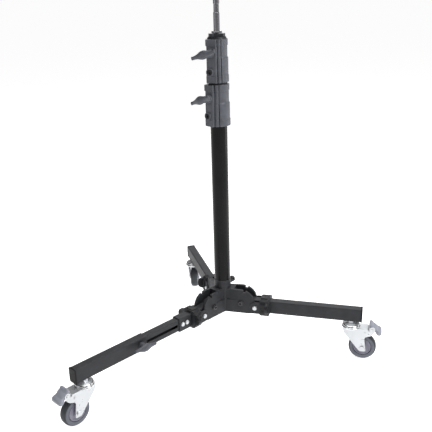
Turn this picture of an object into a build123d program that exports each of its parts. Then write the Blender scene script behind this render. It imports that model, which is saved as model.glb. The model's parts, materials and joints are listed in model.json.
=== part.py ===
from build123d import *
import math
import os

# ---------------------------------------------------------------------------
# Rolling stand: three-section column on a folding three-leg base with casters.
# Millimetres, +Z up, floor at Z = 0. Each leg is drawn along +X in its own
# (radius, offset, height) frame and then turned about the column axis.
# ---------------------------------------------------------------------------

# column
COL_R, COL_IR = 22.5, 20.5
R1_R, R1_IR = 20.0, 18.2
R2_R, R2_IR = 17.5, 15.7
RUN = 0.06  # radial clearance of a running fit
SOCKET_TOP = 209.0
LOW_Z0, UP_Z0, COLLAR_H = 655.0, 768.0, 108.0
CUP_Z0 = 881.4
STUD_R, STUD_BODY_Z0, STUD_NECK_Z0, STUD_HEAD_Z0, STUD_TOP = 8.0, 895.0, 940.0, 961.0, 972.0
LOW_DIR, UP_DIR = -90.0, -73.1  # directions the clamp bosses face
LOW_HANDLE = (0.0, 728.5, 20.5, 66.5)  # tangential offset, height, tilt of the bar, distance from the axis
UP_HANDLE = (-2.6, 842.8, 17.4, 70.5)
HANDLE_HALF = 34.3

# legs
DIRS = {"a": 30.0, "b": -90.0, "c": 150.0}
LEG_W, LEG_H, LEG_WALL, LEG_RND = 25.0, 38.0, 2.0, 3.0
LEG_Z0 = 114.5
LEG_ZC = LEG_Z0 + LEG_H / 2  # 133.5
LEG_END = {"a": 394.0, "b": 517.5, "c": 394.0}
PIV_X, PIV_Z = 57.5, 144.0
ARC_R = 39.5
PIN_X, PIN_R, PIN_IN = 98.5, 2.5, 6.0
PLATE_IN, PLATE_UP, PLATE_BAND = 13.0, 17.5, 20.5
PLATE_Z0, PLATE_Z1, BAND_Z1 = 113.0, 184.0, 151.0
FORK_IN, FORK_OUT, FORK_HALF = 21.0, 24.0, 17.3
RAIL_W, RAIL_H = 2 * 10.44, 2 * 16.94
TUBE_B_X0 = 299.5

# casters
STEM_X = {"a": 368.0, "b": 490.5, "c": 369.0}
SWIVEL = {"a": 0.0, "b": 0.0, "c": -19.0}
TRAIL, WHEEL_R, WHEEL_W, AXLE_R = 33.5, 38.0, 23.0, 4.0

nodes = {}


def cyl(r, z0, z1, x=0.0, y=0.0):
    return Pos(x, y, (z0 + z1) / 2) * Cylinder(r, z1 - z0)


def tube(r, ri, z0, z1):
    return cyl(r, z0, z1) - cyl(ri, z0 - 1, z1 + 1)


def box(x0, x1, y0, y1, z0, z1):
    return Pos((x0 + x1) / 2, (y0 + y1) / 2, (z0 + z1) / 2) * Box(x1 - x0, y1 - y0, z1 - z0)


def ycyl(r, y0, y1, x, z):
    return Pos(x, (y0 + y1) / 2, z) * Rot(90, 0, 0) * Cylinder(r, y1 - y0)


def xcyl(r, x0, x1, y, z):
    return Pos((x0 + x1) / 2, y, z) * Rot(0, 90, 0) * Cylinder(r, x1 - x0)


def rprism(w, h, rad, x0, x1, z=LEG_ZC, y=0.0):
    """A bar along X with a rounded rectangular section w (Y) by h (Z)."""
    s = RectangleRounded(w, h, rad) if rad else Rectangle(w, h)
    return Pos(x0, y, z) * Plane.YZ.location * extrude(s, x1 - x0)


def xz(points, y0, y1):
    """A closed polygon in the XZ plane drawn out from y0 to y1."""
    f = make_face(Polyline(*[(x, z) for x, z in points], close=True))
    s = extrude(f, y1 - y0)  # drawn in XY along +Z
    return Pos(0, y1, 0) * Rot(90, 0, 0) * s


def turn(shape, deg):
    return Rot(0, 0, deg) * shape


def hex_z(af, z0, z1, x=0.0, y=0.0):
    return Pos(x, y, z0) * extrude(RegularPolygon(af / 2, 6, major_radius=False), z1 - z0)


def hex_y(af, y0, y1, x, z):
    return Pos(x, y1, z) * Rot(90, 0, 0) * extrude(RegularPolygon(af / 2, 6, major_radius=False), y1 - y0)


def hex_x(af, x0, x1, y, z):
    return Pos(x0, y, z) * Rot(0, 90, 0) * extrude(RegularPolygon(af / 2, 6, major_radius=False), x1 - x0)


def soften(shape, edges, r):
    try:
        return fillet(edges, r)
    except Exception:
        return shape


# ---------------------------------------------------------------- column ----
nodes["column_tube"] = tube(COL_R, COL_IR, SOCKET_TOP, 700.0)
nodes["riser_1_tube"] = tube(R1_R, R1_IR, 236.0, 813.5)
nodes["riser_2_tube"] = tube(R2_R, R2_IR, 262.0, CUP_Z0)
# guide bushes ride on the risers inside the next larger tube
nodes["riser_1_bush"] = tube(COL_IR - RUN, R1_IR + 0.6, 214.0, 236.0) - tube(30, R1_R, 233.0, 240)
nodes["riser_2_bush"] = tube(R1_IR - RUN, R2_IR + 0.6, 240.0, 262.0)

# socket: spigot inside the tube, flange below it, three arms between the plates
hub = cyl(COL_IR, SOCKET_TOP, 213.0 - 1.0) + cyl(23.4, PLATE_Z1 + 0.5, SOCKET_TOP)
for d in DIRS.values():
    hub += turn(box(0, 37.0, -12.98, 12.98, 116.0, PLATE_Z1), d)
    hub += turn(cyl(6.4, PLATE_Z1 + 0.5, 203.5, 18.0), d + 60)
hub += cyl(12.0, PLATE_Z1 - 1, PLATE_Z1 + 1)
hub -= cyl(6.5, 100, 220)
hub = soften(hub, hub.edges().filter_by(GeomType.CIRCLE).group_by(Axis.Z)[-1], 0.6)
nodes["base_socket"] = hub


def wing(side):
    """One wing of a V plate in a leg's frame: side +1 or -1."""
    a, b, c = PLATE_IN, PLATE_UP, PLATE_BAND
    x0 = 7.0

    def slab(y0, y1, grow=0.0):
        y0, y1 = sorted((side * y0, side * y1))
        s = box(x0, 60.5, y0, y1, PLATE_Z0, PLATE_Z1)
        disc = ycyl(ARC_R, y0, y1, PIV_X, PIV_Z) & box(0, 120, -30, 30, PLATE_Z0, 190)
        tab = xz([(60, PLATE_Z0), (102.5, PLATE_Z0 + 1.5), (103.0, 119.0), (99.5, 128.5), (93.5, 130.6), (60, 130.6)], y0, y1)
        s = s + disc + tab
        s -= box(PIN_X - PIN_IN - PIN_R - 0.4, 120, y0 - 1, y1 + 1, LEG_ZC - PIN_R - 0.4, LEG_ZC + PIN_R + 0.4)
        s -= box(64.3, 71.8, y0 - 1, y1 + 1, 176.0, 200)
        return s

    w = slab(a, c)
    # above the ledge the face slopes inwards towards the fold
    cut = make_face(Polyline((x0 - 1, side * b), (x0 - 1, side * (c + 1)), (51.5, side * (c + 1)), (50.0, side * c), (24.0, side * b), close=True))
    w -= Pos(0, 0, BAND_Z1) * extrude(cut, 60)
    w -= ycyl(4.0, -60, 60, PIV_X, PIV_Z)
    return w


def v_plate(d_neg, d_pos):
    """The V plate between two legs: the - side of one and the + side of the other."""
    s = turn(wing(-1), d_neg) + turn(wing(+1), d_pos)
    mid = d_neg - 60.0
    s += turn(cyl(6.4, PLATE_Z0, PLATE_Z1 + 0.5, 18.0), mid)
    # keep the two leg channels open
    for d in (d_neg, d_pos):
        s -= turn(box(-2.0, 130, -PLATE_IN, PLATE_IN, 100, 230), d)
    s -= turn(box(-60, 13.2, -60, 60, 100, 230), mid)
    return s


nodes["base_plate_ab"] = v_plate(DIRS["a"], DIRS["b"])
nodes["base_plate_bc"] = v_plate(DIRS["b"], DIRS["c"])
nodes["base_plate_ca"] = v_plate(DIRS["c"], DIRS["a"])

# eye lug that stands on the socket's rib between legs a and c
lug = xz([(21.5, PLATE_Z1 + 0.5), (47.5, PLATE_Z1 + 0.5), (48.4, PLATE_Z1 + 4.0), (47.6, 195.0), (43.4, 200.2), (36.6, 200.2), (32.6, 196.0), (31.8, 190.0), (26.0, 188.0), (21.5, 188.0)], -3.8, 3.8)
lug = soften(lug, lug.edges().filter_by(Axis.Y), 0.9) - ycyl(2.9, -5, 5, 40.2, 193.6)
lug -= cyl(6.4, 150, 210, 18.0)
nodes["base_eye_lug"] = turn(lug, 90.0)

bolts, ties = None, None
for d in DIRS.values():
    b = ycyl(3.94, -20.5, 20.5, PIV_X, PIV_Z)
    for s in (-1, 1):
        lo, hi = sorted((s * 20.5, s * 22.4))
        flange = ycyl(8.4, lo, hi, PIV_X, PIV_Z)
        far = flange.edges().filter_by(GeomType.CIRCLE).group_by(Axis.Y)[-1 if s > 0 else 0]
        b += soften(flange, far, 0.7)
        lo, hi = sorted((s * 22.4, s * 27.6))
        head = ycyl(5.9, lo, hi, PIV_X, PIV_Z)
        far = head.edges().filter_by(GeomType.CIRCLE).group_by(Axis.Y)[-1 if s > 0 else 0]
        head = soften(head, far, 0.8)
        lo, hi = sorted((s * 24.4, s * 28.0))
        b = b + (head - hex_y(6.0, lo, hi, PIV_X, PIV_Z))
    b = turn(b, d)
    bolts = b if bolts is None else bolts + b
    for z in (130.0, 168.0):
        t = turn(ycyl(3.0, -16.5, 16.5, 28.0, z), d)
        ties = t if ties is None else ties + t
nodes["leg_pivot_bolts"] = bolts
nodes["base_tie_pins"] = ties
for k in ("base_plate_ab", "base_plate_bc", "base_plate_ca", "base_socket"):
    nodes[k] = nodes[k] - ties
# plates hold the pivot bolts; the socket's own edges stay clear of the roots


# ------------------------------------------------------------ clamp collars --
def bar_y():
    """The wing of a T handle along Y: tall in the middle, slim towards the tips."""
    half = [(0.0, 6.4, 11.0), (5.0, 6.2, 10.6), (11.0, 5.0, 8.6), (17.0, 4.1, 6.2), (24.0, 3.5, 4.8), (30.0, 3.3, 4.4), (HANDLE_HALF - 1.0, 3.3, 4.7), (HANDLE_HALF, 2.6, 4.0)]
    rows = [(-y, b, h) for y, b, h in reversed(half[1:])] + half
    rings = [Plane(origin=(0, y, 0), x_dir=(1, 0, 0), z_dir=(0, 1, 0)) * Ellipse(b, h) for y, b, h in rows]
    return loft(rings, ruled=True)


def outline(r, face, grow, z0, z1):
    """The D shaped section of a collar between two heights, in the (d, t, z) frame."""
    s = cyl(r + grow, z0, z1)
    b = box(0, face + grow, -15.7 - grow, 13.0 + grow, z0, z1)
    e = b.edges().filter_by(Axis.Z).group_by(Axis.X)[-1]
    s += soften(b, e, 3.5)
    rib = box(8, r + 2.4 + grow, -3.6, 3.6, z0, z1)
    e = rib.edges().filter_by(Axis.Z).group_by(Axis.X)[-1]
    s += turn(soften(rib, e, 2.2), 35.5)
    return s


def collar(z0, r_low, r_up, bore_low, bore_up, face, ht, hz, z_step):
    """A cast clamp collar in the (d, t, z) frame: boss towards +X."""
    z1 = z0 + COLLAR_H
    s = outline(r_low, face, 0.0, z0 + 3.0, z_step)
    s += outline(r_up, face - 0.6, 0.0, z_step, z1 - 2.0)
    s += Pos(0, 0, z_step) * Cone(r_low, r_up, 3.5, align=(Align.CENTER, Align.CENTER, Align.MIN))
    ring_b = outline(r_low, face, 1.1, z0, z0 + 18)
    ring_t = outline(r_up, face, 1.4, z1 - 16, z1)
    for ring in (ring_b, ring_t):
        low_e = ring.edges().group_by(Axis.Z)[0]
        top_e = ring.edges().group_by(Axis.Z)[-1]
        s += soften(ring, low_e + top_e, 0.9)
    # round nose that carries the handle's screw
    nose = xcyl(10.5, 20, face + 4.5, ht, hz)
    nose = soften(nose, nose.edges().filter_by(GeomType.CIRCLE).group_by(Axis.X)[-1], 1.5)
    s += nose
    # recessed round pad round the clamp screw
    pad = xcyl(10.4, 20, face + 1.0, -5.0, z0 + 27.3)
    pad = soften(pad, pad.edges().filter_by(GeomType.CIRCLE).group_by(Axis.X)[-1], 0.8)
    s += pad
    # two shallow flutes down the flat face, between the nose and the clamp screw
    for t in (-9.6, 7.0):
        s -= box(face - 0.6, face + 0.9, t - 2.2, t + 2.2, z0 + 40.0, hz - 12.5)
    # grooves each side of the rib, the full height
    for ang in (26.5, 49.0):
        s -= turn(box(r_up - 2.6 if ang > 40 else r_up + 1.2, 60, -1.0, 1.0, z0 - 1, z1 + 1), ang)
    s -= cyl(bore_low, z0 - 1, z0 + 46)
    s -= cyl(bore_up, z0 + 40, z1 + 1)
    s -= turn(box(16, 60, -0.8, 0.8, z0 - 1, z0 + 40), 49.0)
    return s


def t_handle(face, ht, hz, tilt, dist):
    """T handle in the (d, t, z) frame: the screw runs along +X."""
    s = xcyl(5.0, 27.6, face + 8, 0, 0)
    neck = Pos((face + 5.2 + dist) / 2, 0, 0) * Rot(0, 90, 0) * Cone(9.6, 8.2, dist - face - 5.2)
    s += neck
    s += Pos(dist, 0, 0) * bar_y()
    s = Rot(tilt, 0, 0) * s
    return Pos(0, ht, hz) * s


def shoe(bore, ht, hz):
    s = xcyl(6.4, 12, 26.4, ht, hz) - cyl(bore + 0.08, hz - 30, hz + 30)
    return s


def shoe_pocket(bore, ht, hz):
    return xcyl(6.46, 12, 27.6, ht, hz) + xcyl(5.06, 27, 60, ht, hz)


def clamp_screw(face, z):
    s = xcyl(3.0, face - 9, face - 3.0, -5.0, z) + xcyl(6.6, face - 3.0, face + 2.2, -5.0, z)
    s = soften(s, s.edges().filter_by(GeomType.CIRCLE).group_by(Axis.X)[-1], 0.7)
    return s - hex_x(7.0, face - 0.8, face + 5, -5.0, z)


LOW_FACE, UP_FACE = 34.0, 32.4
ht, hz, tl, hd = LOW_HANDLE
low = collar(LOW_Z0, 30.2, 28.2, COL_R, R1_R + 0.4, LOW_FACE, ht, hz, 713.6)
low -= shoe_pocket(R1_R, ht, hz)
low -= xcyl(7.4, LOW_FACE - 3.0, 60, -5.0, LOW_Z0 + 27.3) + xcyl(3.0, LOW_FACE - 9.0, LOW_FACE, -5.0, LOW_Z0 + 27.3)
low -= cyl(22.0, LOW_Z0 + COLLAR_H - 9.0, LOW_Z0 + COLLAR_H + 1)
nodes["lower_collar"] = turn(low, LOW_DIR)
nodes["lower_collar_screw"] = turn(clamp_screw(LOW_FACE, LOW_Z0 + 27.3), LOW_DIR)
nodes["lower_guide_ring"] = tube(22.0, R1_R + RUN, LOW_Z0 + COLLAR_H - 9.0, LOW_Z0 + COLLAR_H) + tube(24.2, R1_R + RUN, LOW_Z0 + COLLAR_H, LOW_Z0 + COLLAR_H + 4.2)
nodes["handle_lower"] = turn(t_handle(LOW_FACE, ht, hz, tl, hd), LOW_DIR)
nodes["shoe_lower"] = turn(shoe(R1_R, ht, hz), LOW_DIR)

ht, hz, tl, hd = UP_HANDLE
up = collar(UP_Z0, 28.0, 26.0, R1_R, R2_R + 0.4, UP_FACE, ht, hz, 829.0)
up -= shoe_pocket(R2_R, ht, hz)
up -= xcyl(7.4, UP_FACE - 3.0, 60, -5.0, UP_Z0 + 27.3) + xcyl(3.0, UP_FACE - 9.0, UP_FACE, -5.0, UP_Z0 + 27.3)
up -= cyl(21.0, UP_Z0 + COLLAR_H - 8.0, UP_Z0 + COLLAR_H + 1)
nodes["upper_collar"] = turn(up, UP_DIR)
nodes["upper_collar_screw"] = turn(clamp_screw(UP_FACE, UP_Z0 + 27.3), UP_DIR)
gr = cyl(21.0, UP_Z0 + COLLAR_H - 8.0, UP_Z0 + COLLAR_H) + Pos(0, 0, UP_Z0 + COLLAR_H) * Cone(25.2, 23.0, 5.0, align=(Align.CENTER, Align.CENTER, Align.MIN))
nodes["upper_guide_ring"] = gr - cyl(R2_R + RUN, 800, 900)
nodes["handle_upper"] = turn(t_handle(UP_FACE, ht, hz, tl, hd), UP_DIR)
nodes["shoe_upper"] = turn(shoe(R2_R, ht, hz), UP_DIR)

# top of the second riser: chrome cup, then the stud
cup = cyl(21.6, CUP_Z0, 889.4)
cup = soften(cup, cup.edges().filter_by(GeomType.CIRCLE).group_by(Axis.Z)[0], 1.0)
cup += Pos(0, 0, 889.4) * Cone(21.6, 14.0, 1.8, align=(Align.CENTER, Align.CENTER, Align.MIN))
cup += cyl(R2_IR, CUP_Z0 - 12.0, CUP_Z0 + 1)
cup -= cyl(6.0, CUP_Z0 - 20, 900)
nodes["top_cup"] = cup
prof = make_face(
    Polyline(
        (0, CUP_Z0 - 10), (6.0, CUP_Z0 - 10), (6.0, 891.2), (13.5, 891.2), (13.5, 894.4), (12.9, 895.0), (STUD_R, 895.0),
        (STUD_R, STUD_NECK_Z0 - 1), (7.0, STUD_NECK_Z0), (7.0, STUD_HEAD_Z0 - 1), (STUD_R, STUD_HEAD_Z0), (STUD_R, STUD_TOP - 1.2), (6.8, STUD_TOP), (0, STUD_TOP), close=True,
    )
)
nodes["stud"] = revolve(Rot(90, 0, 0) * prof, Axis.Z)


# ------------------------------------------------------------------- legs ----
def leg_root(x_tube):
    """Cast root: the eye round the pivot, then the body that fills the tube."""
    s = ycyl(16.8, -12.6, 12.6, PIV_X, PIV_Z)
    s += xz([(PIV_X, PIV_Z - 16.8), (62, 127.6), (74, LEG_Z0), (x_tube, LEG_Z0), (x_tube, LEG_Z0 + LEG_H), (72, 152.6), (66, 158.5), (PIV_X, PIV_Z + 16.8)], -12.5, 12.5)
    s += rprism(LEG_W - 2 * LEG_WALL, LEG_H - 2 * LEG_WALL, 1.5, x_tube - 1, x_tube + 24)
    s -= ycyl(4.0, -30, 30, PIV_X, PIV_Z)
    s -= box(PIN_X - PIN_IN - 3.0, PIN_X + 3.0, -30, 30, LEG_ZC - 3.0, LEG_ZC + 3.0)
    return s


def leg_tube(x0, x1, stem_x):
    s = rprism(LEG_W, LEG_H, LEG_RND, x0, x1)
    s -= rprism(LEG_W - 2 * LEG_WALL, LEG_H - 2 * LEG_WALL, 1.5, x0 - 1, x1 + 1)
    s -= cyl(6.05, LEG_Z0 - 1, LEG_Z0 + 5, stem_x)
    return s


def end_cap(x1):
    s = rprism(27.0, 40.0, 4.0, x1, x1 + 3.6)
    s = soften(s, s.edges().group_by(Axis.X)[-1], 1.0)
    return s + rprism(LEG_W - 2 * LEG_WALL, LEG_H - 2 * LEG_WALL, 1.5, x1 - 9, x1)


def lock_fork():
    s = rprism(2 * FORK_OUT, 45.0, 6.0, 112.0, 139.0)
    s -= rprism(LEG_W + 0.12, LEG_H + 0.12, LEG_RND, 100, 150)
    for k in (-1, 1):
        y0, y1 = sorted((k * FORK_IN, k * FORK_OUT))
        arm = box(101.3, 118.0, y0, y1, LEG_ZC - FORK_HALF, LEG_ZC + FORK_HALF)
        arm += ycyl(FORK_HALF, y0, y1, 101.3, LEG_ZC)
        s += arm
    s -= ycyl(PIN_R, -30, 30, PIN_X, LEG_ZC)
    return s


def lock_collar():
    zc = LEG_ZC
    s = rprism(57.0, 51.0, 15.0, 113.8, 138.2)
    s = soften(s, s.edges().group_by(Axis.X)[0] + s.edges().group_by(Axis.X)[-1], 1.2)
    top = box(113.8, 133.4, -11.5, 11.5, zc, zc + 27.2)
    top = soften(top, top.edges().filter_by(Axis.X).group_by(Axis.Z)[-1] + top.edges().filter_by(Axis.Y).group_by(Axis.Z)[-1], 1.2)
    s += top
    # long flutes on the top
    for y in (-17.5, -13.5, 13.5, 17.5):
        s -= box(112.0, 133.0, y - 0.8, y + 0.8, zc + 24.4, zc + 30.0)
    for k in (-1, 1):
        ear = xcyl(15.6, 128.8, 138.2, k * 27.0, zc + 3.5)
        ear = soften(ear, ear.edges().filter_by(GeomType.CIRCLE), 1.4)
        for i in range(-4, 5):
            z = zc + 3.5 + i * 3.0
            y0, y1 = sorted((k * 28.9, k * 44.0))
            ear -= box(137.3, 140.0, y0, y1, z - 0.65, z + 0.65) + box(127.0, 129.7, y0, y1, z - 0.65, z + 0.65)
        s += ear
        # pockets that thin the walls beside the ears
        y0, y1 = sorted((k * 26.9, k * 30.0))
        s -= box(116.8, 126.4, y0, y1, zc - 8.5, zc + 8.5)
    s -= rprism(2 * FORK_OUT, 45.0, 6.0, 100, 150)
    return s


def lock_pin():
    s = ycyl(PIN_R, -FORK_OUT, FORK_OUT, PIN_X, LEG_ZC)
    for k in (-1, 1):
        y0, y1 = sorted((k * FORK_OUT, k * (FORK_OUT + 3.6)))
        h = ycyl(6.6, y0, y1, PIN_X, LEG_ZC)
        far = h.edges().filter_by(GeomType.CIRCLE).group_by(Axis.Y)[-1 if k > 0 else 0]
        s += soften(h, far, 2.4)
    return s


for leg, d in DIRS.items():
    nodes[f"lock_fork_{leg}"] = turn(lock_fork(), d)
    nodes[f"lock_collar_{leg}"] = turn(lock_collar(), d)
    nodes[f"lock_pin_{leg}"] = turn(lock_pin(), d)
    nodes[f"leg_{leg}_end_cap"] = turn(end_cap(LEG_END[leg]), d)

for leg in ("a", "c"):
    s = leg_root(92.0) + leg_tube(92.0, LEG_END[leg], STEM_X[leg])
    s -= box(PIN_X - PIN_IN - 3.0, PIN_X + 3.0, -30, 30, LEG_ZC - 3.0, LEG_ZC + 3.0)
    nodes[f"leg_{leg}_tube"] = turn(s, DIRS[leg])

# telescoping leg: root with a sleeve box, slotted rail, outer tube
root = leg_root(92.0) + leg_tube(92.0, 145.0, 500.0)
root -= box(PIN_X - PIN_IN - 3.0, PIN_X + 3.0, -30, 30, LEG_ZC - 3.0, LEG_ZC + 3.0)
sleeve = rprism(27.4, 40.4, 3.5, 145.5, 184.0)
sleeve = soften(sleeve, sleeve.edges().group_by(Axis.X)[-1], 0.8)
sleeve += rprism(LEG_W, LEG_H, LEG_RND, 143.0, 146.0)
sleeve -= rprism(RAIL_W, RAIL_H, 2.0, 130, 190)
root += sleeve
for x in (157.0, 172.7):
    root -= ycyl(3.0, -30, 30, x, LEG_ZC + 1.2)
nodes["leg_b_root"] = turn(root, DIRS["b"])

rail = rprism(RAIL_W, RAIL_H, 2.0, 147.0, 362.0) - rprism(RAIL_W - 4.0, RAIL_H - 4.0, 0.8, 146, 363)
slot = box(192.0, 352.0, -30, 30, LEG_ZC - 4.6, LEG_ZC + 4.6) + ycyl(4.6, -30, 30, 192.0, LEG_ZC) + ycyl(4.6, -30, 30, 352.0, LEG_ZC)
rail -= slot
for x in (157.0, 172.7):
    rail -= ycyl(3.0, -30, 30, x, LEG_ZC + 1.2)
nodes["leg_b_rail"] = turn(rail, DIRS["b"])

sb = None
for x in (157.0, 172.7):
    b = ycyl(3.0, -13.7, 13.7, x, LEG_ZC + 1.2)
    for k in (-1, 1):
        y0, y1 = sorted((k * 13.7, k * 17.4))
        h = ycyl(6.2, y0, y1, x, LEG_ZC + 1.2)
        far = h.edges().filter_by(GeomType.CIRCLE).group_by(Axis.Y)[-1 if k > 0 else 0]
        b += soften(h, far, 2.4)
    sb = b if sb is None else sb + b
nodes["leg_b_bolts"] = turn(sb, DIRS["b"])

B_HX = 318.0
outer = leg_tube(TUBE_B_X0, LEG_END["b"], STEM_X["b"])
outer += ycyl(9.0, LEG_W / 2 - 0.5, LEG_W / 2 + 2.4, B_HX, LEG_ZC)
outer -= ycyl(5.06, 8, 30, B_HX, LEG_ZC)
nodes["leg_b_tube"] = turn(outer, DIRS["b"])


def side_handle():
    """The T handle on the side of the telescoping leg, screw along +Y."""
    s = ycyl(5.0, 10.8, 20, B_HX, LEG_ZC)
    s += Pos(B_HX, 22.6, LEG_ZC) * Rot(-90, 0, 0) * Cone(9.0, 7.6, 15.0)
    s += Pos(B_HX, 31.0, LEG_ZC) * Rot(0, -3, 0) * Rot(0, 0, 90) * bar_y()
    return s


nodes["leg_b_handle"] = turn(side_handle(), DIRS["b"])
nodes["leg_b_shoe"] = turn(box(B_HX - 7, B_HX + 7, 1.0, 8.2, LEG_ZC - 4.2, LEG_ZC + 4.2), DIRS["b"])


# ---------------------------------------------------------------- casters ----
PED_S, PED_Z = 58.8, 97.2  # pedal pin, from the stem and from the floor


def caster(leg):
    """The pieces of a caster with its stem at the origin, trailing +X."""
    # stem with upper race plate, nut under the leg and head inside the tube
    stem = cyl(6.0, 88.2, 119.5) + hex_z(19.0, 116.5, 121.5)
    stem += hex_z(19.0, 108.0, LEG_Z0) + cyl(22.6, 101.4, 104.4)
    stem += Pos(0, 0, 104.4) * Cone(22.6, 14.0, 3.6, align=(Align.CENTER, Align.CENTER, Align.MIN))
    stem += cyl(9.5, 88.2, 91.4)
    stem = soften(stem, stem.edges().filter_by(GeomType.CIRCLE).filter_by(lambda e: abs(e.radius - 22.6) < 0.01), 0.8)
    # fork: top plate with the lower race, two cheeks with pedal arms, axle
    f = cyl(24.6, 94.0, 98.6)
    f += Pos(0, 0, 98.6) * Cone(24.6, 22.4, 2.4, align=(Align.CENTER, Align.CENTER, Align.MIN))
    f += box(-4, 46.5, -17, 17, 94.0, 97.0)
    for k in (-1, 1):
        y0, y1 = sorted((k * 14.2, k * 17.0))
        cheek = xz([(-20.5, 97), (-21.6, 89.5), (-17.5, 81), (24.6, 29.4), (28.0, 27.2), (40.8, 27.6), (43.4, 30.6), (38.6, 66.0), (41.0, 72.4), (54.0, 77.0), (61.5, 84.0), (66.0, 93.5), (58.8, 97.2), (52.6, 92.0), (48.6, 93.0), (46.5, 97.0)], y0, y1)
        e = cheek.edges().filter_by(Axis.Y)
        f += soften(cheek, e, 1.6)
        f += ycyl(8.0, y0, y1, PED_S, PED_Z)
        y0, y1 = sorted((k * 17.0, k * 18.6))
        f += ycyl(3.0, y0, y1, 39.6, 84.6)
    f -= cyl(6.0 + RUN, 80, 110)
    axle = ycyl(AXLE_R, -17.0, 17.0, TRAIL, WHEEL_R)
    for k in (-1, 1):
        y0, y1 = sorted((k * 17.0, k * 20.6))
        axle += hex_y(11.0, y0, y1, TRAIL, WHEEL_R)
    f += axle
    f -= ycyl(3.0 + RUN, -18, 18, PED_S, PED_Z)
    hub = ycyl(27.0, -10.4, 10.4, TRAIL, WHEEL_R) - ycyl(20.5, 8.2, 12, TRAIL, WHEEL_R) - ycyl(20.5, -12, -8.2, TRAIL, WHEEL_R)
    hub += ycyl(9.0, -13.6, 13.6, TRAIL, WHEEL_R)
    hub -= ycyl(AXLE_R + RUN, -20, 20, TRAIL, WHEEL_R)
    tyre = ycyl(WHEEL_R, -WHEEL_W / 2, WHEEL_W / 2, TRAIL, WHEEL_R)
    tyre = soften(tyre, tyre.edges().filter_by(GeomType.CIRCLE), 5.0)
    tyre -= ycyl(27.0, -20, 20, TRAIL, WHEEL_R)
    # pedal: a rocker with a ridge on top, a sloping body and a wide lip
    body = xz([(53.0, 104.4), (60.4, 112.2), (64.0, 110.6), (72.0, 104.0), (84.0, 92.0), (83.0, 82.5), (76.0, 84.0), (68.0, 92.0), (60.0, 103.0)], -17.5, 17.5)
    body = soften(body, body.edges().filter_by(Axis.Y), 1.2)
    ridge = ycyl(5.2, -19.5, 19.5, 57.2, 108.0)
    ridge = soften(ridge, ridge.edges().filter_by(GeomType.CIRCLE), 1.2)
    lip = xz([(76.5, 90.5), (84.5, 92.5), (90.5, 83.5), (93.0, 76.0), (90.0, 73.0), (84.0, 77.5), (76.0, 83.0)], -22.5, 22.5)
    lip = soften(lip, lip.edges().filter_by(Axis.Y), 1.6)
    lip &= Pos(72.0, 0, 85) * extrude(Ellipse(21.5, 24.0), 40, both=True)
    pedal = body + ridge + lip
    core = ycyl(7.6, -13.9, 13.9, PED_S, PED_Z) + xz([(53, 97), (65, 97), (64.5, 104), (54, 104.6)], -13.9, 13.9)
    for k in (-1, 1):
        y0, y1 = sorted((k * 13.9, k * 17.3))
        pedal -= ycyl(8.5, y0, y1, PED_S, PED_Z) + box(40, 58.8, y0, y1, 70, PED_Z)
        y0, y1 = sorted((k * 17.3, k * 24.0))
        pedal -= ycyl(8.5, y0, y1, PED_S, PED_Z)
    pedal += core + ycyl(3.0, -18.6, 18.6, PED_S, PED_Z)
    return {"stem": stem, "fork": f, "wheel": hub, "tyre": tyre, "pedal": pedal}


for leg, d in DIRS.items():
    for name, s in caster(leg).items():
        if name != "stem":
            s = turn(s, SWIVEL[leg])
        nodes[f"caster_{leg}_{name}"] = turn(Pos(STEM_X[leg], 0, 0) * s, d)

# ----------------------------------------------------------------- export ----
lo = [1e9] * 3
hi = [-1e9] * 3
for s in nodes.values():
    b = s.bounding_box()
    for i, (p, q) in enumerate(zip((b.min.X, b.min.Y, b.min.Z), (b.max.X, b.max.Y, b.max.Z))):
        lo[i], hi[i] = min(lo[i], p), max(hi[i], q)
off = [-(lo[0] + hi[0]) / 2, -(lo[1] + hi[1]) / 2, -lo[2]]
print("size", [round(h - l, 3) for l, h in zip(lo, hi)], "column axis at", [round(v, 4) for v in off])
os.makedirs("parts", exist_ok=True)
for name, s in nodes.items():
    s = Pos(*off) * s
    solids = s.solids()
    out = solids[0] if len(solids) == 1 else Compound(children=list(solids))
    out.label = name
    export_step(out, f"parts/{name}.step")
    print(name, len(solids), round(s.volume / 1000, 1), "cm3")
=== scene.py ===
import bpy
import json
import math
from mathutils import Vector, Matrix


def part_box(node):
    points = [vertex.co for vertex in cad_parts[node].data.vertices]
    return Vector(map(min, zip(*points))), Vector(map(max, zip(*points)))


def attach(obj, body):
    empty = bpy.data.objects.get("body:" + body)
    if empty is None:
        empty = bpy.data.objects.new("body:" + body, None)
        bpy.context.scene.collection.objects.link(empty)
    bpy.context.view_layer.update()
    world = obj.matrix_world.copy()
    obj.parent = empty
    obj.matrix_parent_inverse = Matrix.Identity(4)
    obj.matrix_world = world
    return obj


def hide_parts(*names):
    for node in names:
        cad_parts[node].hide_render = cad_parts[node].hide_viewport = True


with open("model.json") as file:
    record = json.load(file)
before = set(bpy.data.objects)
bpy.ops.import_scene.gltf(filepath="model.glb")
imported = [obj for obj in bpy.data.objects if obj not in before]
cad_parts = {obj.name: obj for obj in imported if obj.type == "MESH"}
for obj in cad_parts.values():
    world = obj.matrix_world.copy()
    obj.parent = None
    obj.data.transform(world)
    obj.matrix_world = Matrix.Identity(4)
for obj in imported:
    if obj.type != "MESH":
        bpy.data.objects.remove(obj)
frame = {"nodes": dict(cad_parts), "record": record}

LO, HI = [], []
for n in frame["nodes"]:
    a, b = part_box(n)
    LO.append(a)
    HI.append(b)
CAD_LO = [min(v[i] for v in LO) for i in range(3)]

NODES = frame["nodes"]
ca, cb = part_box("column_tube")
AX = Vector(((ca.x + cb.x) / 2, (ca.y + cb.y) / 2, 0.0))  # column axis
GROUND = min(CAD_LO[2], 0.0)


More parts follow.
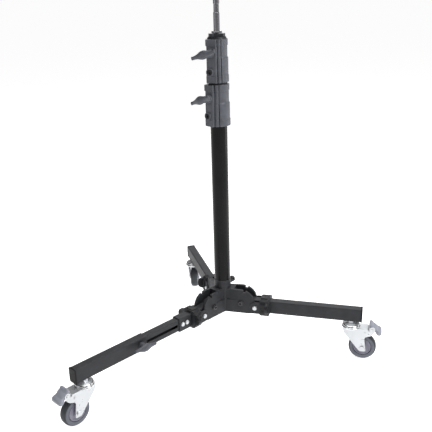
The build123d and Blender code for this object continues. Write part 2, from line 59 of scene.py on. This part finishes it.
# ------------------------------------------------------------- materials ----
def node(nt, kind, x, y, **inputs):
    n = nt.nodes.new(kind)
    n.location = (x, y)
    for k, v in inputs.items():
        n.inputs[k.replace("_", " ")].default_value = v
    return n


def finish_mat(name, base, rough, metallic=0.0, tint=0.06, scale=120.0, grain=900.0, bump=0.15, bump_m=0.0002,
               rough_var=0.08, upward_lighten=0.0, edge_highlight=0.0, edge_highlight_col=None, coat=0.0, coat_rough=0.1, spec=0.5, streak=None, sheen=0.0):
    """A painted, plated or moulded surface: large soft mottling, fine grain in
    the bump, a painted highlight along sharp edges, and upward faces a little lighter."""
    m = bpy.data.materials.new(name)
    m.use_nodes = True
    nt = m.node_tree
    bsdf = nt.nodes["Principled BSDF"]
    L = nt.links.new
    tc = node(nt, "ShaderNodeTexCoord", -1500, 0)
    co = tc.outputs["Object"]
    if streak:
        mp = node(nt, "ShaderNodeMapping", -1300, -200)
        mp.inputs["Scale"].default_value = streak
        L(tc.outputs["Object"], mp.inputs["Vector"])
        fine_co = mp.outputs["Vector"]
    else:
        fine_co = co
    mott = node(nt, "ShaderNodeTexNoise", -1100, 300, Scale=scale * 0.25, Detail=4.0, Roughness=0.55)
    L(co, mott.inputs["Vector"])
    mid = node(nt, "ShaderNodeTexNoise", -1100, 50, Scale=scale, Detail=6.0, Roughness=0.6)
    L(co, mid.inputs["Vector"])
    fine = node(nt, "ShaderNodeTexNoise", -1100, -200, Scale=grain, Detail=3.0, Roughness=0.6)
    L(fine_co, fine.inputs["Vector"])
    # colour: base darkened and lightened by the mottling
    mix = nt.nodes.new("ShaderNodeMix")
    mix.data_type = "RGBA"
    mix.location = (-700, 300)
    lo = tuple(max(0.0, c * (1 - tint)) for c in base)
    hi = tuple(min(1.0, c * (1 + tint) + 0.002 * (tint > 0)) for c in base)
    mix.inputs["A"].default_value = (*lo, 1)
    mix.inputs["B"].default_value = (*hi, 1)
    ramp = node(nt, "ShaderNodeMapRange", -900, 300)
    ramp.inputs["From Min"].default_value = 0.35
    ramp.inputs["From Max"].default_value = 0.65
    L(mott.outputs["Fac"], ramp.inputs["Value"])
    L(ramp.outputs["Result"], mix.inputs["Factor"])
    col = mix.outputs["Result"]
    if edge_highlight > 0:
        # painted highlight along sharp corners: lighter where the rounded normal leaves the true one
        bev = node(nt, "ShaderNodeBevel", -1100, 700, Radius=0.0011)
        bev.samples = 4
        geo = node(nt, "ShaderNodeNewGeometry", -1100, 600)
        dot = nt.nodes.new("ShaderNodeVectorMath")
        dot.operation = "DOT_PRODUCT"
        dot.location = (-900, 650)
        L(bev.outputs["Normal"], dot.inputs[0])
        L(geo.outputs["Normal"], dot.inputs[1])
        er = node(nt, "ShaderNodeMapRange", -700, 650)
        er.inputs["From Min"].default_value = 0.995
        er.inputs["From Max"].default_value = 0.86
        er.inputs["To Min"].default_value = 0.0
        er.inputs["To Max"].default_value = edge_highlight
        L(dot.outputs["Value"], er.inputs["Value"])
        brk = nt.nodes.new("ShaderNodeMath")
        brk.operation = "MULTIPLY"
        brk.location = (-500, 600)
        L(er.outputs["Result"], brk.inputs[0])
        L(mid.outputs["Fac"], brk.inputs[1])
        em = nt.nodes.new("ShaderNodeMix")
        em.data_type = "RGBA"
        em.location = (-400, 350)
        em.inputs["B"].default_value = (*(edge_highlight_col or tuple(min(1, c * 3 + 0.05) for c in base)), 1)
        L(brk.outputs["Value"], em.inputs["Factor"])
        L(col, em.inputs["A"])
        col = em.outputs["Result"]
    # faces that point upwards are mixed a little towards light grey, broken up by the mid noise
    if upward_lighten > 0:
        geo2 = node(nt, "ShaderNodeNewGeometry", -900, 900)
        sep = nt.nodes.new("ShaderNodeSeparateXYZ")
        sep.location = (-700, 900)
        L(geo2.outputs["Normal"], sep.inputs["Vector"])
        dr = node(nt, "ShaderNodeMapRange", -500, 900)
        dr.inputs["From Min"].default_value = 0.5
        dr.inputs["From Max"].default_value = 1.0
        dr.inputs["To Max"].default_value = upward_lighten
        L(sep.outputs["Z"], dr.inputs["Value"])
        dm = nt.nodes.new("ShaderNodeMath")
        dm.operation = "MULTIPLY"
        dm.location = (-350, 900)
        L(dr.outputs["Result"], dm.inputs[0])
        L(mid.outputs["Fac"], dm.inputs[1])
        dx = nt.nodes.new("ShaderNodeMix")
        dx.data_type = "RGBA"
        dx.location = (-200, 400)
        dx.inputs["B"].default_value = (0.35, 0.34, 0.33, 1)
        L(dm.outputs["Value"], dx.inputs["Factor"])
        L(col, dx.inputs["A"])
        col = dx.outputs["Result"]
    L(col, bsdf.inputs["Base Color"])
    rr = node(nt, "ShaderNodeMapRange", -500, 0)
    rr.inputs["From Min"].default_value = 0.3
    rr.inputs["From Max"].default_value = 0.7
    rr.inputs["To Min"].default_value = max(0.02, rough - rough_var)
    rr.inputs["To Max"].default_value = min(1.0, rough + rough_var)
    L(mid.outputs["Fac"], rr.inputs["Value"])
    L(rr.outputs["Result"], bsdf.inputs["Roughness"])
    bp = node(nt, "ShaderNodeBump", -300, -300, Strength=bump, Distance=bump_m)
    L(fine.outputs["Fac"], bp.inputs["Height"])
    rb = node(nt, "ShaderNodeBevel", -500, -450, Radius=0.0006)
    rb.samples = 4
    L(rb.outputs["Normal"], bp.inputs["Normal"])
    L(bp.outputs["Normal"], bsdf.inputs["Normal"])
    bsdf.inputs["Metallic"].default_value = metallic
    bsdf.inputs["Coat Weight"].default_value = coat
    bsdf.inputs["Coat Roughness"].default_value = coat_rough
    bsdf.inputs["Specular IOR Level"].default_value = spec
    if sheen:
        bsdf.inputs["Sheen Weight"].default_value = sheen
    return m


M = {
    "gloss_black": finish_mat("gloss_black", (0.0030, 0.0030, 0.0034), 0.22, tint=0.10, scale=60, grain=500, bump=0.05, coat=0.06, coat_rough=0.08, rough_var=0.04, edge_highlight=0.3, edge_highlight_col=(0.10, 0.10, 0.10), spec=0.11),
    "charcoal": finish_mat("charcoal", (0.023, 0.0242, 0.0275), 0.50, tint=0.10, scale=150, grain=1600, bump=0.22, edge_highlight=0.55, edge_highlight_col=(0.15, 0.155, 0.17), upward_lighten=0.05, spec=0.22),
    "cast_grey": finish_mat("cast_grey", (0.068, 0.072, 0.085), 0.40, metallic=0.10, tint=0.12, scale=200, grain=1100, bump=0.30, edge_highlight=0.55, edge_highlight_col=(0.24, 0.25, 0.28), upward_lighten=0.04, spec=0.32),
    "black_plastic": finish_mat("black_plastic", (0.010, 0.0104, 0.012), 0.44, tint=0.10, scale=220, grain=2200, bump=0.25, edge_highlight=0.35, edge_highlight_col=(0.09, 0.09, 0.10), spec=0.26),
    "black_steel": finish_mat("black_steel", (0.008, 0.008, 0.0085), 0.34, metallic=0.3, tint=0.12, scale=300, grain=2000, bump=0.15, edge_highlight=0.6, edge_highlight_col=(0.22, 0.22, 0.23), spec=0.30),
    "zinc": finish_mat("zinc", (0.545, 0.56, 0.58), 0.30, metallic=0.55, tint=0.03, scale=90, grain=700, bump=0.03, rough_var=0.04, edge_highlight=0.25, edge_highlight_col=(0.85, 0.86, 0.88), spec=0.6),
    "race": finish_mat("race", (0.60, 0.61, 0.62), 0.14, metallic=1.0, tint=0.04, scale=120, grain=900, bump=0.03, rough_var=0.04),
    "chrome": finish_mat("chrome", (0.13, 0.13, 0.14), 0.17, metallic=1.0, tint=0.05, scale=120, grain=900, bump=0.04, rough_var=0.04, edge_highlight=0.6, edge_highlight_col=(0.7, 0.7, 0.7)),
    "tyre": finish_mat("tyre", (0.118, 0.124, 0.150), 0.58, tint=0.10, scale=180, grain=1800, bump=0.25, upward_lighten=0.05, spec=0.30),
    "hub": finish_mat("hub", (0.19, 0.186, 0.238), 0.42, tint=0.06, scale=180, grain=1500, bump=0.15),
    "pedal": finish_mat("pedal", (0.235, 0.245, 0.285), 0.40, tint=0.06, scale=180, grain=1700, bump=0.15),
}
for s in frame["record"]["subparts"]:
    o = NODES[s["node"]]
    o.data.materials.clear()
    o.data.materials.append(M[s["material_slot"]])
DARK_CHROME = finish_mat("dark_chrome", (0.030, 0.031, 0.034), 0.16, metallic=1.0, tint=0.05, scale=120, grain=900, bump=0.03, rough_var=0.04, edge_highlight=0.8, edge_highlight_col=(0.35, 0.35, 0.37))
CAP_BLACK = finish_mat("cap_black", (0.010, 0.0104, 0.0118), 0.52, tint=0.10, scale=220, grain=2000, bump=0.20, edge_highlight=0.25, edge_highlight_col=(0.07, 0.07, 0.08), spec=0.12)
for name, o in NODES.items():
    if "top_cup" in name:
        o.data.materials.clear()
        o.data.materials.append(DARK_CHROME)
    if name.startswith("leg_") and name.endswith("cap"):
        o.data.materials.clear()
        o.data.materials.append(CAP_BLACK)

# ----------------------------------------------------------------- pieces ----
JO = {j["name"]: j for j in frame["record"]["behaviour"]["joints"]}


def frame_of(axis, down=(0, 0, -1)):
    """Unit vectors: along the axis, the horizontal across it, and up."""
    y = Vector(axis).normalized()
    x = Vector((-y.y, y.x, 0)).normalized() if abs(y.z) < 0.9 else Vector((1, 0, 0))
    return x, y, x.cross(y)


def new_piece(name, verts, faces, mats, index=None, smooth=True):
    me = bpy.data.meshes.new(name)
    me.from_pydata([tuple(v) for v in verts], [], faces)
    for m in mats:
        me.materials.append(m)
    if index:
        for p, i in zip(me.polygons, index):
            p.material_index = i
    for p in me.polygons:
        p.use_smooth = smooth
    me.update()
    o = bpy.data.objects.new(name, me)
    bpy.context.scene.collection.objects.link(o)
    return o


def lathe(name, centre, axis, prof, mats, seg=112):
    """Turn a closed profile of (radius, along, material) about an axis."""
    x, y, z = frame_of(axis)
    verts, faces, idx = [], [], []
    n = len(prof)
    for i in range(seg):
        t = 2 * math.pi * i / seg
        d = x * math.cos(t) + z * math.sin(t)
        for r, h, m in prof:
            verts.append(Vector(centre) + d * (r / 1000) + y * (h / 1000))
    for i in range(seg):
        j = (i + 1) % seg
        for k in range(n):
            l = (k + 1) % n
            faces.append((i * n + k, j * n + k, j * n + l, i * n + l))
            idx.append(prof[k][2])
    o = new_piece(name, verts, faces, mats, idx)
    import bmesh
    bm = bmesh.new()
    bm.from_mesh(o.data)
    bmesh.ops.recalc_face_normals(bm, faces=bm.faces)
    for e in bm.edges:
        if len(e.link_faces) == 2 and e.calc_face_angle() > math.radians(38):
            e.smooth = False
    bm.to_mesh(o.data)
    bm.free()
    return o


def mirror_profile(half):
    """Half profile from the outer face inwards, mirrored to the other side."""
    return half + [(r, -h, m) for r, h, m in reversed(half)]


def loft(name, origin, ex, ey, ez, rings, mats, levels=2, crease=None):
    """Skin a list of closed rings given as (x, y, z) in mm in a local frame."""
    n = len(rings[0])
    verts, faces = [], []
    for ring in rings:
        for p in ring:
            verts.append(Vector(origin) + ex * (p[0] / 1000) + ey * (p[1] / 1000) + ez * (p[2] / 1000))
    for i in range(len(rings) - 1):
        for k in range(n):
            l = (k + 1) % n
            faces.append((i * n + k, i * n + l, (i + 1) * n + l, (i + 1) * n + k))
    faces.append(tuple(range(n))[::-1])
    faces.append(tuple(range((len(rings) - 1) * n, len(rings) * n)))
    o = new_piece(name, verts, faces, mats)
    import bmesh
    bm = bmesh.new()
    bm.from_mesh(o.data)
    bmesh.ops.recalc_face_normals(bm, faces=bm.faces)
    bm.to_mesh(o.data)
    bm.free()
    if levels:
        sub = o.modifiers.new("sub", "SUBSURF")
        sub.levels = sub.render_levels = levels
    return o


TREAD, SIDE, RING, HUB = finish_mat("tread", (0.040, 0.044, 0.050), 0.62, tint=0.14, scale=160, grain=1500, bump=0.35, upward_lighten=0.06, spec=0.28), M["tyre"], M["black_plastic"], M["hub"]
WHEEL_MATS = [TREAD, M["tyre"], M["black_plastic"], M["hub"]]
for leg in "abc":
    roll, brake = JO["roll_" + leg], JO["brake_" + leg]
    c, ax = roll["pos_m"], roll["axis"]
    # tyre: crowned tread, rounded shoulder, sidewall dishing to a bead by the hub
    half = [(38.0, 0.0, 0), (37.9, 3.0, 0), (37.5, 6.0, 0), (36.8, 8.2, 0), (35.6, 9.9, 0), (34.0, 11.0, 1), (31.8, 11.45, 1), (29.4, 11.4, 1),
            (27.2, 11.1, 1), (25.4, 10.9, 1), (24.9, 10.5, 2), (24.7, 9.2, 2), (24.7, 6.0, 2)]
    prof = half[1:] + [(24.7, 0.0, 2)] + [(r, -h, m) for r, h, m in reversed(half[1:])] + [(38.0, 0.0, 0)]
    prof = [(r, h, (prof[(i + 1) % len(prof)][2] if h < 0 else m)) for i, (r, h, m) in enumerate(prof)]
    o = lathe("tyre_" + leg, c, ax, prof, WHEEL_MATS)
    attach(o, "wheel_" + leg)
    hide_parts("caster_" + leg + "_tyre")
    # hub: rim lip, dark ring, dished web and boss
    half = [(24.6, 8.0, 2), (24.4, 9.6, 2), (23.9, 9.7, 3), (23.2, 10.9, 3), (21.6, 11.0, 3), (20.9, 10.4, 3), (20.2, 9.4, 3), (17.5, 8.6, 3), (12.5, 8.3, 3),
            (10.2, 8.8, 3), (9.6, 11.6, 3), (9.0, 13.4, 3), (5.6, 13.55, 3), (4.1, 13.4, 3)]
    prof = half + [(r, -h, m) for r, h, m in reversed(half)]
    prof = [(r, h, (prof[(i + 1) % len(prof)][2] if h < 0 else m)) for i, (r, h, m) in enumerate(prof)]
    o = lathe("hub_" + leg, c, ax, prof, WHEEL_MATS)
    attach(o, "wheel_" + leg)
    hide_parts("caster_" + leg + "_wheel")
    # brake pedal: ridge, barrel and rounded bill, skinned along its slope
    b = Vector(brake["pos_m"])
    ey = Vector(brake["axis"]).normalized()
    outw = Vector((b.x, b.y, 0)) - Vector((JO["swivel_" + leg]["pos_m"][0], JO["swivel_" + leg]["pos_m"][1], 0))
    ex = outw.normalized()
    ez = Vector((0, 0, 1))
    # rings stand across the slope: (centre x, centre z, half thickness, half width, corner power)
    PX, PZ = 58.8, 97.2
    path = [(50.6, 111.0, 1.4, 14.6), (51.8, 110.4, 4.0, 16.6), (54.4, 108.4, 5.4, 17.4), (57.0, 106.2, 4.8, 17.0), (58.8, 104.4, 4.2, 15.4), (61.4, 101.8, 5.6, 15.0),
            (65.2, 98.4, 6.4, 15.2), (68.6, 95.4, 6.2, 15.8), (70.8, 93.3, 5.6, 17.2), (72.6, 91.6, 6.8, 19.2), (75.6, 88.8, 8.2, 19.8), (78.4, 86.2, 7.8, 19.4), (80.6, 84.2, 6.0, 18.2), (82.0, 82.9, 3.8, 16.6), (82.6, 82.4, 1.4, 15.0)]
    rings = []
    K = 20
    for q, (px, pz, ht, hw) in enumerate(path):
        ring = []
        for i in range(K):
            t = 2 * math.pi * i / K
            ca_, sa_ = math.cos(t), math.sin(t)
            pw = 0.55
            w_ = math.copysign(abs(ca_) ** pw, ca_) * hw
            h_ = math.copysign(abs(sa_) ** pw, sa_) * ht
            # across the slope: the thickness direction points up and outwards
            ring.append((px - PX + h_ * 0.66, w_, pz - PZ + h_ * 0.75))
        rings.append(ring)
    o = loft("pedal_" + leg, b, ex, ey, ez, rings, [M["pedal"]], levels=2)
    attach(o, "pedal_" + leg)
    # pivot core of the pedal between the cheeks, with its pin
    core = [(7.4, 13.0, 0), (7.0, 13.6, 0), (3.4, 13.7, 0), (3.3, 18.2, 1), (2.9, 18.6, 1), (0.4, 18.65, 1)]
    prof = core[::-1] + [(r, -h, m) for r, h, m in core]
    prof = [(r, h, m) for r, h, m in prof]
    o2 = lathe("pedal_pin_" + leg, b, ey, prof, [M["pedal"], M["zinc"]], seg=48)
    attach(o2, "pedal_" + leg)
    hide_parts("caster_" + leg + "_pedal")

def join(name, objs):
    """Merge several new pieces into one object."""
    import bmesh
    bm = bmesh.new()
    mats = []
    for o in objs:
        base = len(mats)
        for m in o.data.materials:
            if m not in mats:
                mats.append(m)
        table = [mats.index(m) for m in o.data.materials]
        me = o.data.copy()
        for p in me.polygons:
            p.material_index = table[p.material_index]
        bm.from_mesh(me)
    me = bpy.data.meshes.new(name)
    bm.to_mesh(me)
    bm.free()
    for m in mats:
        me.materials.append(m)
    out = bpy.data.objects.new(name, me)
    bpy.context.scene.collection.objects.link(out)
    for o in objs:
        bpy.data.objects.remove(o)
    return out


# pivot bolts of the legs: a black flange paints the shade of the recess round each head, the socket head is a
# lighter copy of the steel for its lit face, shaft between
LIT_HEAD_STEEL = finish_mat("bolt_head_lit", (0.055, 0.057, 0.062), 0.34, metallic=0.5, tint=0.1, scale=300, grain=1800, bump=0.12, edge_highlight=0.7, edge_highlight_col=(0.4, 0.4, 0.42), spec=0.4)
parts = []
for leg in "abc":
    f = JO["fold_" + leg]
    c, ax = Vector(f["pos_m"]), Vector(f["axis"]).normalized()
    prof = [(3.9, 20.5, 0), (8.3, 20.5, 0), (8.4, 21.7, 0), (7.9, 22.35, 0), (6.2, 22.4, 0), (5.9, 22.6, 1), (5.9, 26.6, 1), (5.5, 27.3, 1), (4.9, 27.5, 1), (3.6, 27.5, 1), (3.3, 27.2, 0), (3.25, 24.4, 0), (0.3, 24.3, 0)]
    full = prof[::-1] + [(r, -h, m) for r, h, m in prof]
    parts.append(lathe("bolt_" + leg, c, ax, full, [M["black_steel"], LIT_HEAD_STEEL], seg=72))
o = join("pivot_bolt_set", parts)
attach(o, "base")
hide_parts("leg_pivot_bolts")

# raised rings round the clamp screws of the two collars
for which, body in (("lower", "base"), ("upper", "riser_1")):
    a0, b0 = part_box(which + "_collar_screw")
    mid = (a0 + b0) / 2
    node_o = NODES[which + "_collar_screw"]
    d = Vector((0, 0, 0))
    turn_j = JO["handle_" + which + "_turn"]
    d = Vector(turn_j["axis"]).normalized()
    # the screw's outer face is its farthest point along the boss direction
    far = max((v.co - AX).dot(d) for v in node_o.data.vertices)
    t_dir = Vector((-d.y, d.x, 0))
    tt = sum((v.co - AX).dot(t_dir) for v in node_o.data.vertices) / len(node_o.data.vertices)
    c = AX + d * far + t_dir * tt + Vector((0, 0, mid.z))
    prof = [(7.45, -3.2, 0), (7.5, 1.1, 0), (7.9, 1.5, 0), (9.2, 1.5, 0), (9.9, 1.0, 0), (10.4, -0.4, 0), (10.8, -3.2, 0)]
    o = lathe(which + "_screw_ring", c, d, prof, [M["cast_grey"]], seg=72)
    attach(o, body)

# ball race seams of the caster heads: two polished bands round each swivel
for leg in "abc":
    sw = JO["swivel_" + leg]
    c = Vector((sw["pos_m"][0], sw["pos_m"][1], 0))
    band = [(22.0, 101.5, 0), (23.4, 101.6, 0), (23.9, 102.4, 0), (23.7, 103.5, 0), (22.9, 104.5, 0), (21.6, 105.2, 0), (21.0, 104.4, 0)]
    o = lathe("race_top_" + leg, c, (0, 0, 1), band, [M["race"]], seg=96)
    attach(o, "leg_b_outer" if leg == "b" else "leg_" + leg)
    band = [(22.5, 94.2, 0), (25.0, 94.4, 0), (25.7, 95.4, 0), (25.7, 97.8, 0), (25.1, 98.8, 0), (23.6, 99.7, 0), (22.6, 99.9, 0)]
    o = lathe("race_low_" + leg, c, (0, 0, 1), band, [M["race"]], seg=96)
    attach(o, "fork_" + leg)

# ------------------------------------------------------------------ stage ----
floor_mat = bpy.data.materials.new("floor")
floor_mat.use_nodes = True
fb = floor_mat.node_tree.nodes["Principled BSDF"]
fb.inputs["Base Color"].default_value = (0.70, 0.70, 0.70, 1)
fb.inputs["Emission Color"].default_value = (1, 1, 1, 1)
fb.inputs["Emission Strength"].default_value = 0.87
fb.inputs["Roughness"].default_value = 0.75
fb.inputs["Specular IOR Level"].default_value = 0.2
bpy.ops.mesh.primitive_plane_add(size=400, location=(0, 0, GROUND - 0.0004))
floor = bpy.context.object
floor.name = "floor"
floor.data.materials.append(floor_mat)

world = bpy.data.worlds.new("world")
bpy.context.scene.world = world
world.use_nodes = True
bg = world.node_tree.nodes["Background"]
bg.inputs["Color"].default_value = (1.0, 1.0, 1.0, 1)
bg.inputs["Strength"].default_value = 0.14


def area(name, loc, target, size, power, size_y=None):
    d = bpy.data.lights.new(name, "AREA")
    d.energy = power
    d.shape = "RECTANGLE"
    d.size = size
    d.size_y = size_y or size
    o = bpy.data.objects.new(name, d)
    bpy.context.scene.collection.objects.link(o)
    o.location = loc
    o.rotation_mode = "QUATERNION"
    o.rotation_quaternion = (Vector(target) - Vector(loc)).to_track_quat("-Z", "Y")
    return o


# ----------------------------------------------------------------- camera ----
F_PX, EL, DIST, ROLL, TX, TZ = 666.775, 0.34813, 1.852635, -0.02636, -0.014033, 0.397882
TURN = math.radians(44.98)


def from_view(v):
    """A vector of the camera's ground frame (x right, y away) in the row frame."""
    c, s = math.cos(TURN), math.sin(TURN)
    return Vector((v[0] * c - v[1] * s, v[0] * s + v[1] * c, v[2]))


ce, se = math.cos(EL), math.sin(EL)
fwd = Vector((0, ce, -se))
right0, up0 = Vector((1, 0, 0)), Vector((0, se, ce))
right = math.cos(ROLL) * right0 + math.sin(ROLL) * up0
up = -math.sin(ROLL) * right0 + math.cos(ROLL) * up0
pos = Vector((TX, 0, TZ)) - DIST * fwd
R, U, B = from_view(right), from_view(up), from_view(-fwd)
P = from_view(pos) + AX
cam_data = bpy.data.cameras.new("camera")
cam_data.sensor_width = 36.0
cam_data.lens = F_PX / 432.0 * 36.0
cam_data.dof.use_dof = False
cam = bpy.data.objects.new("camera", cam_data)
bpy.context.scene.collection.objects.link(cam)
cam.matrix_world = Matrix(((R.x, U.x, B.x, P.x), (R.y, U.y, B.y, P.y), (R.z, U.z, B.z, P.z), (0, 0, 0, 1)))
bpy.context.scene.camera = cam
bpy.context.scene.view_settings.view_transform = "Standard"

# soft boxes placed round the object as the camera sees it
area("key", from_view(Vector((1.5, -1.0, 1.7))) + AX, AX + Vector((0, 0, 0.45)), 0.5, 34, 1.6)
area("strip", from_view(Vector((1.25, 0.25, 0.9))) + AX, AX + Vector((0, 0, 0.5)), 0.35, 4, 1.5)
area("fill", from_view(Vector((-1.9, -1.2, 1.2))) + AX, AX + Vector((0, 0, 0.4)), 1.2, 6)
area("top", AX + Vector((0, 0, 2.8)), AX, 2.2, 52)
area("back", from_view(Vector((0.4, 2.4, 1.8))) + AX, AX + Vector((0, 0, 0.3)), 1.8, 18)
